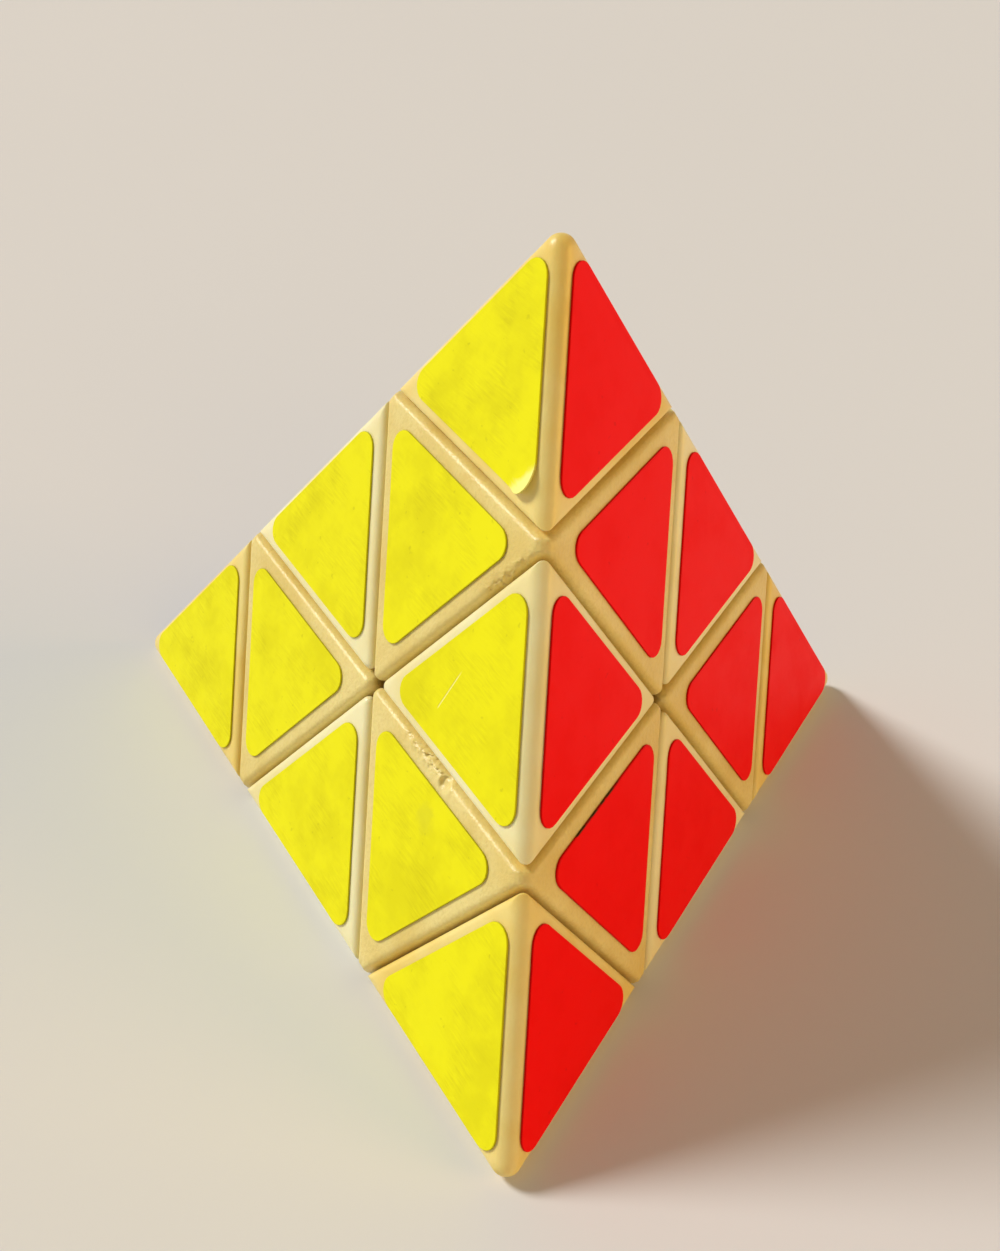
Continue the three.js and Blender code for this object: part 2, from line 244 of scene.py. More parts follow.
def face_grid(corners, middle, rows, columns, hole=0.0):
    """A face as a grid: column u runs round its border, and row v goes from a hole's rim to the border.

    P(v, u) = rim(u) + (border(u) - rim(u)) w, with w = 1 - (1 - v)^ROW_POWER, and rim(u) lies at the
    hole's radius from the middle, towards border(u). A short side has SHORT_SIDE_COLUMNS.
    """
    ends = np.roll(corners, -1, axis=0)
    lengths = np.linalg.norm(ends - corners, axis=1)
    border = []
    for start, end, length in zip(corners, ends, lengths):
        count = columns if length > 0.3 * lengths.max() else SHORT_SIDE_COLUMNS
        share = np.arange(count)[:, None] / count
        border.append(start + (end - start) * share)
    border = np.concatenate(border)
    rim = middle + hole * unit(border - middle)
    weight = 1 - (1 - np.linspace(0, 1, rows + 1)) ** ROW_POWER
    return rim + (border - rim) * weight[:, None, None]


def nearest_on_face(points, corners):
    """The nearest point of a convex flat face: the foot of the perpendicular, or a point of its border."""
    ends = np.roll(corners, -1, axis=0)
    normal = unit(np.cross(corners[1] - corners[0], corners[2] - corners[0]))
    foot = points - ((points - corners[0]) @ normal)[..., None] * normal
    inside = np.ones(points.shape[:-1], bool)
    nearest = foot.copy()
    least = np.full(points.shape[:-1], np.inf)
    for start, end in zip(corners, ends):
        side = end - start
        inside &= (foot - start) @ np.cross(normal, side) >= 0
        share = np.clip((points - start) @ side / (side @ side), 0, 1)
        candidate = start + share[..., None] * side
        gap = np.linalg.norm(points - candidate, axis=-1)
        nearest = np.where((gap < least)[..., None], candidate, nearest)
        least = np.minimum(least, gap)
    return np.where(inside[..., None], foot, nearest)


OUTER_PLANES = np.array([above(AXES[corner], -FACE_DISTANCE) for corner in CORNERS])
OUTER_CORE = moved_in(OUTER_PLANES, OUTER_RADIUS)
OUTER_CORE_FACES = [face_corners(OUTER_CORE, face) for face in range(len(OUTER_CORE))]


def inside_pyramid(points):
    """Points outside the pyramid with rounded edges, moved onto it: C + OUTER_RADIUS (P - C) / |P - C|,
    where C is the nearest point of the pyramid made smaller by OUTER_RADIUS."""
    candidates = np.stack([nearest_on_face(points, corners) for corners in OUTER_CORE_FACES])
    gaps = np.linalg.norm(points - candidates, axis=-1)
    best = gaps.argmin(0)
    nearest = np.take_along_axis(candidates, best[None, ..., None], 0)[0]
    gap = gaps.min(0)
    beyond = (points @ OUTER_CORE[:, :3].T > OUTER_CORE[:, 3]).any(-1) & (gap > OUTER_RADIUS)
    return np.where(beyond[..., None], nearest + OUTER_RADIUS * unit(points - nearest), points)


def rounded_face(planes, face, radius, rows, columns, hole=0.0, middle=None):
    """One face of a convex solid with rounded edges: each point P of the sharp face goes to
    C + radius (P - C) / |P - C|, where C is the nearest point of the face moved in by the radius."""
    corners = face_corners(planes, face)
    centre = corners.mean(0) if middle is None else middle
    grid = face_grid(corners, centre, rows, columns, hole)
    core = face_corners(moved_in(planes, radius), face)
    nearest = nearest_on_face(grid, core)
    return nearest + radius * unit(grid - nearest)


def outside_ball(points, radius, eye):
    """Points seen from the eye through a ball at the origin, moved to where the line of sight enters it:
    eye + t (P - eye), with the smaller root t of |eye + t (P - eye)| = radius."""
    sight = points - eye
    a = (sight * sight).sum(-1)
    b = sight @ eye
    root = b * b - a * (eye @ eye - radius**2)
    t = (-b - np.sqrt(np.maximum(root, 0))) / a
    hit = (root > 0) & (t > 0) & (t < 1)
    return np.where(hit[..., None], eye + t[..., None] * sight, points)


def revolved(profile, directions):
    """(radius, height) points carried round the top axis: P = height * UP + radius * direction."""
    profile = np.array(profile, float)
    return profile[:, 1, None, None] * UP + profile[:, 0, None, None] * directions


def ring_directions(count):
    turn = np.arange(count) * 2 * math.pi / count
    return np.stack([np.cos(turn), np.sin(turn), 0 * turn], axis=-1)


def grid_directions(grid):
    """The directions from the top axis to the first row of a grid that has a hole."""
    rim = grid[0] - (grid[0] @ UP)[:, None] * UP
    return unit(rim)


# ------------------------------------------------------------------ meshes

def mesh_object(name, grids, attributes=None):
    """A mesh of grids whose columns close on themselves; equal points are welded and faces point outwards.

    The attributes give each grid's values by name, for a material to read.
    """
    vertices, faces, start = [], [], 0
    for grid in grids:
        rows, columns = grid.shape[:2]
        index = start + np.arange(rows * columns).reshape(rows, columns)
        following = np.roll(index, -1, axis=1)
        quads = np.stack([index[:-1], index[1:], following[1:], following[:-1]], axis=-1)
        vertices.append(grid.reshape(-1, 3))
        faces.append(quads.reshape(-1, 4))
        start += rows * columns
    vertices = np.concatenate(vertices)
    faces = np.concatenate(faces)
    mesh = bpy.data.meshes.new(name)
    mesh.vertices.add(len(vertices))
    mesh.vertices.foreach_set("co", (vertices * MM).ravel())
    mesh.loops.add(faces.size)
    mesh.loops.foreach_set("vertex_index", faces.ravel())
    mesh.polygons.add(len(faces))
    mesh.polygons.foreach_set("loop_start", np.arange(0, faces.size, 4))
    mesh.update(calc_edges=True)
    for label, values in (attributes or {}).items():
        layer = mesh.attributes.new(label, "FLOAT", "POINT")
        layer.data.foreach_set("value", np.concatenate([v.ravel() for v in values]))
    work = bmesh.new()
    work.from_mesh(mesh)
    bmesh.ops.remove_doubles(work, verts=work.verts, dist=WELD_GAP)
    bmesh.ops.recalc_face_normals(work, faces=work.faces)
    work.to_mesh(mesh)
    work.free()
    mesh.polygons.foreach_set("use_smooth", np.ones(len(mesh.polygons), bool))
    made = bpy.data.objects.new(name, mesh)
    bpy.context.scene.collection.objects.link(made)
    return made


def depth_below_faces(points):
    """How far a point lies inside the pyramid's nearest face, in millimetres."""
    return (OUTER_PLANES[:, 3] - points @ OUTER_PLANES[:, :3].T).min(-1)


def finish_piece(piece, node, body, material):
    """Gives a piece its material and slot, and lets it stand for its node on its body."""
    piece.data.materials.append(material)
    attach(piece, body)
    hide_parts(node)


# ------------------------------------------------------------------ wear on the shells

def corner_point(corner):
    return AXES[corner] * 3 * FACE_DISTANCE


def face_directions(face):
    """Two directions in a face: along its lowest border, and across it, towards that border or away."""
    corners = [corner for corner in CORNERS if corner != face]
    along = unit(AXES[corners[-1]] - AXES[corners[-2]])
    return along, np.cross(-AXES[face], along)


def face_point(face, along, across):
    """A point on a face, in millimetres from the face's middle."""
    first, second = face_directions(face)
    return -AXES[face] * FACE_DISTANCE + along * first + across * second


# Wear on the two faces that meet at the front ridge, in millimetres from each face's middle.
CHEWED_RIDGES = (  # piece, face, start, end, depth
    ("axial_top", "right", (-14.9, -25.8), (-11.4, -19.7), 0.5),
    ("axial_front", "right", (-8.6, 0.0), (-16.0, 0.0), 0.38),
)
NOTCHES = (  # piece, face, place, radius, depth
    ("axial_front", "right", (-16.9, 0.5), 0.75, 0.6),
    ("axial_front", "right", (-13.6, 0.6), 0.4, 0.25),
    ("axial_top", "right", (-12.0, -21.6), 0.45, 0.3),
)
GRIMY_RIMS = (("sticker_red_axial_front", "left", (-13.6, -1.95), (-22.4, -1.95)),)  # sticker, face, ends
SCRATCH = ((-11.6, -5.2), (-12.9, -11.2), 0.11)  # on the yellow face: ends and half width
SMUDGE = ((-16.6, 5.4), 2.3)  # on the yellow face: middle and radius
RIDGE_DROP = 0.45  # from a seam's sharp corner to its rounded crest
CHEWED_REACH = 0.9  # from a ridge's crest to unharmed plastic
NOTCH_LIP = 0.25  # height of the pushed-up rim, as a share of the notch's depth
SURFACE_WAVES = 0.012  # height of the moulding's unevenness
SKIN_DEPTHS = (2.0, 5.0)  # below the faces, between which that unevenness fades


def gap_to_line(points, start, end):
    """The distance from a line's nearest point, and the share of the way along it."""
    side = end - start
    share = (points - start) @ side / (side @ side)
    nearest = start + np.clip(share, 0, 1)[..., None] * side
    return np.linalg.norm(points - nearest, axis=-1), share


def chewed(points, name):
    """Points moved along their line from the core: everywhere by slow noise of SURFACE_WAVES, near a worn
    ridge by fine noise times 1 - smooth(gap), and at a notch in by a bowl of depth (1 - smooth(gap / radius))
    and out at its rim."""
    skin = 1 - smooth(depth_below_faces(points), *SKIN_DEPTHS)
    rise = SURFACE_WAVES * bumps(points, 3.1, 5) * skin
    for piece, face, start, end, depth in CHEWED_RIDGES:
        if piece == name:
            sunk = AXES[face] * RIDGE_DROP
            gap, share = gap_to_line(points, face_point(face, *start) + sunk, face_point(face, *end) + sunk)
            mask = (1 - smooth(gap, RIDGE_DROP, RIDGE_DROP + CHEWED_REACH)) * smooth(share, -0.1, 0.1)
            mask = mask * (1 - smooth(share, 0.9, 1.1))
            crumbs = 0.7 * bumps(points, 0.75, 11) + 0.3 * bumps(points, 2.0, 12)
            rise = rise + depth * crumbs * mask
    for piece, face, place, radius, depth in NOTCHES:
        if piece == name:
            gap = np.linalg.norm(points - face_point(face, *place), axis=-1)
            rise = rise - depth * (1 - smooth(gap, 0.35 * radius, radius + RIDGE_DROP))
            lip = smooth(gap, radius, 1.2 * radius) * (1 - smooth(gap, 1.2 * radius, 1.9 * radius))
            rise = rise + NOTCH_LIP * depth * lip
    return points + unit(points) * rise[..., None]


# ------------------------------------------------------------------ shell shapes

SIDES = ("front", "right", "left")
SIDE_FACES = [above(AXES[corner], -FACE_DISTANCE) for corner in SIDES]


def tip_grids():
    """A tip, hollow, on its post: outer faces, the post as a revolved profile, and the cavity's faces."""
    outer = np.array([*SIDE_FACES, above(UP, TIP_BASE)])
    cavity = moved_in(outer, WALL)
    grids = [rounded_face(outer, face, SEAM_RADIUS, ROWS, EDGE_COLUMNS) for face in range(3)]
    grids = [inside_pyramid(grid) for grid in grids]
    root = POST_RADIUS + POST_FILLET
    base = inside_pyramid(rounded_face(outer, 3, SEAM_RADIUS, ROWS, EDGE_COLUMNS, root, UP * TIP_BASE))
    around = grid_directions(base)
    bead_top = PLATE_TOP - PLATE - RUNNING_GAP
    slot = np.abs(np.sin(2 * np.arctan2(around[:, 1], around[:, 0]))) < SLOT_SHARE
    post = revolved(
        [
            (root, TIP_BASE),
            (POST_RADIUS + 0.1, TIP_BASE - 0.05),
            (POST_RADIUS, TIP_BASE - 0.25),
            (POST_RADIUS, bead_top + 0.1),
            (POST_RADIUS + BEAD_HEIGHT - 0.1, bead_top),
            (POST_RADIUS + BEAD_HEIGHT, bead_top - 0.15),
            (POST_RADIUS + BEAD_HEIGHT, bead_top - BEAD_LENGTH),
            (POST_RADIUS + BEAD_HEIGHT / 2, bead_top - 1.1),
            (POST_RADIUS, POST_END + POST_CHAMFER),
            (POST_RADIUS - POST_CHAMFER, POST_END),
            (POST_BORE + 0.2, POST_END),
            (POST_BORE, POST_END + 0.2),
            (POST_BORE, TIP_BASE + WALL),
        ],
        around,
    )
    slot_radius = POST_BORE + SLOT_WALL
    groove = revolved([(slot_radius, 0.0)], around)[0]
    height = post @ UP
    radial = post - height[..., None] * UP
    cut = slot[None, :] & (height < TIP_BASE - SLOT_ROOT) & (np.linalg.norm(radial, axis=-1) > slot_radius)
    post = np.where(cut[..., None], groove + height[..., None] * UP, post)
    inside = (CAVITY_RADIUS, CAVITY_ROWS, EDGE_COLUMNS)
    floor = rounded_face(cavity, 3, *inside, POST_BORE, UP * (TIP_BASE + WALL))
    inner = [rounded_face(cavity, face, *inside) for face in range(3)]
    return [*grids, base, post, floor, *inner]


def axial_grids(columns):
    """An axial piece: outer faces and cavity, a bored plate, and a dome whose sleeve turns on an arm."""
    walls = [below(AXES[corner], LAYER_PLANE - HALF_GAP) for corner in SIDES]
    foot = above(UP, LAYER_PLANE + HALF_GAP)
    outer = np.array([*SIDE_FACES, *walls, foot, below(UP, PLATE_TOP)])
    cavity = np.array([*moved_in([*SIDE_FACES, *walls, foot], WALL), below(UP, PLATE_TOP - PLATE)])
    eye = UP * (TIP_PLANE + LAYER_PLANE) / 2
    floor_radius = DOME_RADIUS + WALL

    def rim_at(level, ball, radius):
        """The hole's radius in a plane, whose rim the eye sees on the ball at the given radius."""
        height = math.sqrt(ball**2 - radius**2)
        return radius * (eye[2] - level) / (eye[2] - height)

    outside = (SEAM_RADIUS, ROWS, columns)
    grids = [inside_pyramid(rounded_face(outer, face, *outside)) for face in range(6)]
    level = LAYER_PLANE + HALF_GAP
    hole = rim_at(level, DOME_RADIUS, STEM_RADIUS)
    under = inside_pyramid(rounded_face(outer, 6, *outside, hole, UP * level))
    grids = [outside_ball(grid, DOME_RADIUS, eye) for grid in grids]
    under = outside_ball(under, DOME_RADIUS, eye)
    plate = inside_pyramid(rounded_face(outer, 7, *outside, PLATE_BORE + 0.3, UP * PLATE_TOP))
    bore = revolved(
        [
            (PLATE_BORE + 0.3, PLATE_TOP),
            (PLATE_BORE + 0.08, PLATE_TOP - 0.08),
            (PLATE_BORE, PLATE_TOP - 0.3),
            (PLATE_BORE, PLATE_TOP - PLATE),
        ],
        grid_directions(plate),
    )
    sleeve = revolved(
        [
            (STEM_RADIUS, math.sqrt(DOME_RADIUS**2 - STEM_RADIUS**2)),
            (STEM_RADIUS, STEM_END + 0.3),
            (STEM_RADIUS - 0.3, STEM_END),
            (STEM_BORE + 0.2, STEM_END),
            (STEM_BORE, STEM_END + 0.2),
            (STEM_BORE, math.sqrt(floor_radius**2 - STEM_BORE**2)),
        ],
        grid_directions(under),
    )
    inside = (CAVITY_RADIUS, CAVITY_ROWS, columns)
    inner = [rounded_face(cavity, face, *inside) for face in range(6)]
    level += WALL
    hole = rim_at(level, floor_radius, STEM_BORE)
    inner.append(rounded_face(cavity, 6, *inside, hole, UP * level))
    inner = [outside_ball(grid, floor_radius, eye) for grid in inner]
    ceiling = rounded_face(cavity, 7, *inside, PLATE_BORE, UP * (PLATE_TOP - PLATE))
    bore[-1] = ceiling[0]
    sleeve[-1] = inner[6][0]
    return [*grids, under, sleeve, plate, bore, *inner, ceiling]


def foot_grid():
    """An edge piece's foot, a part of a spherical shell: direction(u, t) = cos t middle + sin t side(u),
    where t runs from 0 to the border's t(u). The border is where the two cones that the foot lies in and
    the two that it stays out of are met, and the rim between the two spheres is a half round."""
    middle = unit(UP + AXES["front"])
    side = unit(np.cross(UP, AXES["front"]))
    turn = np.arange(96) * 2 * math.pi / 96
    outwards = np.cos(turn)[:, None] * side + np.sin(turn)[:, None] * np.cross(middle, side)
    reach = np.full(turn.shape, math.pi / 2)
    for corner in CORNERS:
        along, across = AXES[corner] @ middle, outwards @ AXES[corner]
        size = np.hypot(along, across)
        lean = np.arctan2(across, along)
        share = np.arccos(np.clip(math.cos(FOOT_CONE) / size, -1, 1))
        owner = corner in ("top", "front")
        limit = lean + share if owner else lean - share
        met = (size > math.cos(FOOT_CONE)) & (owner | (across > 0))
        reach = np.where(met, np.minimum(reach, limit), reach)
    clearance = (HALF_GAP + FOOT_RIM) / FOOT_OUTER_RADIUS
    reach = reach - clearance
    bulge = np.linspace(-math.pi / 2, math.pi / 2, 9)
    middle_radius = (FOOT_OUTER_RADIUS + FOOT_INNER_RADIUS) / 2
    half = (FOOT_OUTER_RADIUS - FOOT_INNER_RADIUS) / 2
    inner_rows = [(FOOT_INNER_RADIUS, share, 0.0) for share in np.linspace(0, 0.95, 9)]
    rim_rows = [(middle_radius + half * math.sin(b), 1.0, FOOT_RIM * math.cos(b)) for b in bulge]
    outer_rows = [(FOOT_OUTER_RADIUS, share, 0.0) for share in np.linspace(0.95, 0, 9)]
    rows = []
    for radius, share, extra in [*inner_rows, *rim_rows, *outer_rows]:
        angle = share * reach + extra / radius
        rows.append(radius * (np.cos(angle)[:, None] * middle + np.sin(angle)[:, None] * outwards))
    return np.array(rows)


def edge_grids():
    """An edge piece: a solid wedge of four rounded faces on its foot."""
    seams = [above(AXES[corner], LAYER_PLANE + HALF_GAP) for corner in ("top", "front")]
    faces = [above(AXES[corner], -FACE_DISTANCE) for corner in ("right", "left")]
    planes = np.array([*faces, *seams])
    wedge = [rounded_face(planes, face, SEAM_RADIUS, ROWS, EDGE_COLUMNS) for face in range(4)]
    return [*(inside_pyramid(grid) for grid in wedge), foot_grid()]


def shell_piece(name, grids, turn, material):
    """A shell from its canonical grids, turned into place, with its wear and the depth below the faces that
    the material's painted seam shade reads.
    """
    placed = [chewed(grid @ turn.T, name) for grid in grids]
    depths = {"depth": [depth_below_faces(grid) for grid in placed]}
    finish_piece(mesh_object(f"{name}_shell", placed, depths), name, name, material)


# ------------------------------------------------------------------ stickers

STICKER_COLUMNS = 120
FLAT_SHARES = (0.0, 0.2, 0.35, 0.48, 0.58, 0.66, 0.73, 0.79, 0.85, 0.9, 0.94, 0.97, 0.985)
RIM_ROW = len(FLAT_SHARES)  # the last row of the top before its rounded rim
PEEL_START = 1.8  # from the corner of the peeled sticker to its fold
PEEL_SLOPE = 0.42  # rise past the fold
PEEL_BEND = 0.3  # half the length of the bend itself
PEEL_SHRINK = 0.06  # how much a lifted point draws back, as a share of its rise before the slope
PEELED_STICKER = ("yellow", "top")  # the tip sticker that lifts at its corner towards the front
STICKER_RIM = 0.07  # radius of a sticker's cut rim


def sticker_outline():
    """A triangle with round corners, as a closed curve: the support point of a smaller triangle's corner
    plus the corner radius, taken at equal steps of length."""
    inradius = LAYER_HEIGHT_ON_FACE / 3 - STICKER_INSET - STICKER_CORNER_RADIUS
    reach = 2 * inradius
    points = []
    for k in range(3):
        heading = math.pi / 2 + k * 2 * math.pi / 3
        turn = heading + np.linspace(-math.pi / 3, math.pi / 3, 13)
        arc = np.stack([np.cos(turn), np.sin(turn)], axis=-1) * STICKER_CORNER_RADIUS
        points.append(arc + reach * np.array([math.cos(heading), math.sin(heading)]))
    points = np.concatenate(points)
    closed = np.concatenate([points, points[:1]])
    length = np.append(0, np.cumsum(np.linalg.norm(np.diff(closed, axis=0), axis=1)))
    at = np.linspace(0, length[-1], STICKER_COLUMNS, endpoint=False)
    return np.stack([np.interp(at, length, closed[:, i]) for i in range(2)], axis=-1)


def sticker_grid(peeled):
    """A sticker, and how far each of its points is past the fold, from 0 to 1, the share of the painted
    highlight on the lifted flap.

    Rows of the outline are scaled towards the middle on top, then come a rounded rim and a flat underside.
    The peeled corner rises by PEEL_SLOPE (q + sqrt(q^2 + PEEL_BEND^2)) / 2, with q its way past the fold.
    """
    outline = sticker_outline()
    rows = []
    for share in FLAT_SHARES:
        rows.append((share, 0.0, STICKER_THICKNESS))
    for angle in np.linspace(0, math.pi / 2, 5):
        inset = STICKER_RIM * (1 - math.sin(angle))
        rows.append((1.0, inset, STICKER_THICKNESS - STICKER_RIM * (1 - math.cos(angle))))
    rows.append((1.0, 0.0, 0.0))
    for share in reversed(FLAT_SHARES):
        rows.append((share, 0.0, 0.0))
    outward = unit(outline)
    grid = []
    for share, inset, height in rows:
        flat = outline * share - outward * inset
        grid.append(np.concatenate([flat, np.full((len(flat), 1), height)], axis=1))
    grid = np.array(grid)
    fold = np.zeros(grid.shape[:2])
    if peeled is not None:
        past = grid[..., :2] @ peeled - (np.max(outline @ peeled) - PEEL_START)
        bent = (past + np.sqrt(past**2 + PEEL_BEND**2)) / 2
        bent = bent * smooth(past, -2.5, -1.0)
        # How far past the fold, from 0 to 1: the share of painted highlight on the lifted flap.
        fold = smooth(past, -0.15, 0.35)
        grid[..., 2] += PEEL_SLOPE * bent
        grid[..., :2] -= PEEL_SHRINK * bent[..., None] * peeled
    return grid, fold


def sticker_piece(colour, opposite, piece, owner, offset, ahead, peeled=None):
    """One sticker, placed on its face at an offset from the face's middle, with a corner towards ahead."""
    outward = -AXES[opposite]
    basis = np.stack([np.cross(ahead, outward), ahead, outward])
    local, fold = sticker_grid(None if peeled is None else basis[:2] @ peeled)
    middle = outward * (FACE_DISTANCE + STICKER_LIFT) + offset
    grid = local @ basis + middle
    name = f"sticker_{colour}_{piece}"
    rows = np.arange(len(local))[:, None]
    # The rounded rim rows are 1, for painted shade at the cut rim; along a grimy rim the value rises above 1,
    # for real grime.
    rim = np.broadcast_to(1.0 * (rows > RIM_ROW) * (rows < RIM_ROW + 6), grid.shape[:2])
    for grimy, face, start, end in GRIMY_RIMS:
        if grimy == name:
            gap, _ = gap_to_line(grid, face_point(face, *start), face_point(face, *end))
            rim = np.maximum(rim, smooth(rows, RIM_ROW - 2, RIM_ROW)) * (1 + 2 * (1 - smooth(gap, 0.2, 0.7)))
    made = mesh_object(f"{name}_vinyl", [grid], {"rim": [rim], "fold": [fold]})
    finish_piece(made, name, owner, MATERIALS[colour])


def stickers_on_face(opposite, colour):
    """The nine stickers of the face opposite a corner: three each on tips, axial pieces and edge pieces."""
    middle = -AXES[opposite] * FACE_DISTANCE
    corners = [corner for corner in CORNERS if corner != opposite]
    towards = {corner: corner_point(corner) - middle for corner in corners}
    for corner in corners:
        ahead = unit(towards[corner])
        peeled = unit(towards["front"]) if (colour, corner) == PEELED_STICKER else None
        tip_offset = towards[corner] * 2 / 3
        sticker_piece(colour, opposite, f"tip_{corner}", f"tip_{corner}", tip_offset, ahead, peeled)
        axial_offset = towards[corner] / 3
        sticker_piece(colour, opposite, f"axial_{corner}", f"axial_{corner}", axial_offset, -ahead)
    for first, second in EDGES:
        if opposite in (first, second):
            continue
        across = next(corner for corner in corners if corner not in (first, second))
        name = f"edge_{first}_{second}"
        sticker_piece(colour, opposite, name, name, -towards[across] / 3, unit(towards[across]))


# ------------------------------------------------------------------ mechanism

def core_grids():
    """A ball, and for each corner an arm with a rounded end, a chamfered pilot hole and a fillet at its root.
    The ball's profile is (R sin a, -R cos a)."""
    polar = np.linspace(0, math.pi, BALL_SIDES // 2 + 1)
    half_circle = np.stack([np.sin(polar), -np.cos(polar)], 1)
    ball = revolved(CORE_RADIUS * half_circle, ring_directions(BALL_SIDES))
    pilot_radius = SCREW_RADIUS + PILOT_CLEARANCE
    arm = revolved(
        [
            (0, 3.0),
            (ARM_RADIUS + 1.2, CORE_RADIUS - 1.6),
            (ARM_RADIUS + 0.7, CORE_RADIUS - 0.35),
            (ARM_RADIUS + 0.25, CORE_RADIUS + 0.15),
            (ARM_RADIUS, CORE_RADIUS + 0.6),
            (ARM_RADIUS, ARM_END - 0.25),
            (ARM_RADIUS - 0.08, ARM_END - 0.07),
            (ARM_RADIUS - 0.25, ARM_END),
            (pilot_radius + 0.2, ARM_END),
            (pilot_radius, ARM_END - 0.2),
            (pilot_radius, ARM_END - PILOT_DEPTH),
            (0, ARM_END - PILOT_DEPTH),
        ],
        ring_directions(ARM_SIDES),
    )
    return [ball, *(arm @ half_turn(corner).T for corner in CORNERS)]


def screw_grid():
    """A screw: a pan head with a cross recess, and a shank whose radius rises and falls as a helical thread,
    r = SCREW_RADIUS - THREAD_DEPTH s, with s a triangle wave of height / pitch + turn."""
    directions = ring_directions(SCREW_SIDES)
    under = HEAD_UNDERSIDE
    tip = ARM_END - SHANK_DEPTH
    levels = np.linspace(tip, under - 0.8, THREAD_ROWS)
    turn = np.arange(SCREW_SIDES) / SCREW_SIDES
    wave = np.abs(2 * ((levels[:, None] / THREAD_PITCH - turn) % 1) - 1)
    taper = smooth(levels, tip - 0.3, tip + 2.2)[:, None]
    radius = (SCREW_RADIUS - THREAD_DEPTH * wave) * (0.35 + 0.65 * taper)
    shank = levels[:, None, None] * UP + radius[..., None] * directions
    start = revolved([(0, tip - 0.1)], directions)
    head = revolved(
        [
            (SCREW_RADIUS, under - 0.5),
            (SCREW_RADIUS + 0.15, under),
            (HEAD_RADIUS - 0.15, under),
            (HEAD_RADIUS, under + 0.15),
            (HEAD_RADIUS, under + 1.0),
            (HEAD_RADIUS * 0.94, under + 1.5),
            (HEAD_RADIUS * 0.82, under + 1.9),
            (HEAD_RADIUS * 0.6, HEAD_TOP - 0.06),
            *((HEAD_RADIUS * share, HEAD_TOP) for share in (0.5, 0.42, 0.34, 0.26, 0.18, 0.1, 0)),
        ],
        directions,
    )
    x, y = head[..., 0], head[..., 1]
    narrow, wide = np.minimum(np.abs(x), np.abs(y)), np.maximum(np.abs(x), np.abs(y))
    recess = (1 - smooth(narrow, 0.35, 0.5)) * (1 - smooth(wide, 1.9, 2.2)) * (head[..., 2] > HEAD_TOP - 0.1)
    head[..., 2] -= RECESS_DEPTH * recess
    return np.concatenate([start, shank, head])


def spring_grid():
    """A compression spring: a round wire swept along a helix whose end coils lie closer, with flat ends.
    Centre(u) = (R cos a, R sin a, z(u)), and the wire's circle stands in the plane across the helix."""
    floor = math.sqrt((DOME_RADIUS + WALL) ** 2 - (SPRING_RADIUS - WIRE_RADIUS) ** 2)
    low = floor + WIRE_RADIUS + 0.05
    high = HEAD_UNDERSIDE - WASHER_THICKNESS - WIRE_RADIUS - 0.05
    share = np.linspace(0, 1, SPRING_TURNS * STEPS_PER_COIL + 1)
    angle = share * SPRING_TURNS * 2 * math.pi
    rise = smooth(share, 0.06, 0.94) * 0.6 + share * 0.4
    outward = np.stack([np.cos(angle), np.sin(angle), 0 * angle], -1)
    centre = SPRING_RADIUS * outward + (low + (high - low) * rise)[:, None] * UP
    heading = unit(np.gradient(centre, axis=0))
    across = np.cross(heading, outward)
    round_wire = np.linspace(0, 2 * math.pi, WIRE_SIDES, endpoint=False)
    ring = (
        np.cos(round_wire)[None, :, None] * outward[:, None, :]
        + np.sin(round_wire)[None, :, None] * across[:, None, :]
    )
    wire = centre[:, None, :] + WIRE_RADIUS * ring
    first_cap, last_cap = (np.repeat(centre[k][None, None, :], WIRE_SIDES, axis=1) for k in (0, -1))
    return np.concatenate([first_cap, wire, last_cap])


def washer_grid():
    """A flat ring under the screw head, its rim rounded by chamfers."""
    top = HEAD_UNDERSIDE - 0.02
    base = top - WASHER_THICKNESS
    inner, outer, edge = SCREW_RADIUS + 0.2, HEAD_RADIUS + 0.1, 0.06
    profile = [
        (inner + edge, base),
        (outer - edge, base),
        (outer, base + edge),
        (outer, top - edge),
        (outer - edge, top),
        (inner + edge, top),
        (inner, top - edge),
        (inner, base + edge),
        (inner + edge, base),
    ]
    return revolved(profile, ring_directions(WASHER_SIDES))


def mechanism():
    core = mesh_object("core_spider", core_grids())
    finish_piece(core, "core", "core", MATERIALS["core"])
    for corner in CORNERS:
        turn = half_turn(corner)
        screw = mesh_object(f"screw_{corner}_threaded", [screw_grid() @ turn.T])
        finish_piece(screw, f"screw_{corner}", "core", MATERIALS["screw"])
        spring = mesh_object(f"spring_{corner}_coil", [spring_grid() @ turn.T])
        finish_piece(spring, f"spring_{corner}", "core", MATERIALS["spring"])
        washer = mesh_object(f"washer_{corner}", [washer_grid() @ turn.T])
        washer.data.materials.append(MATERIALS["screw"])
        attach(washer, "core")


# ------------------------------------------------------------------ shader maths

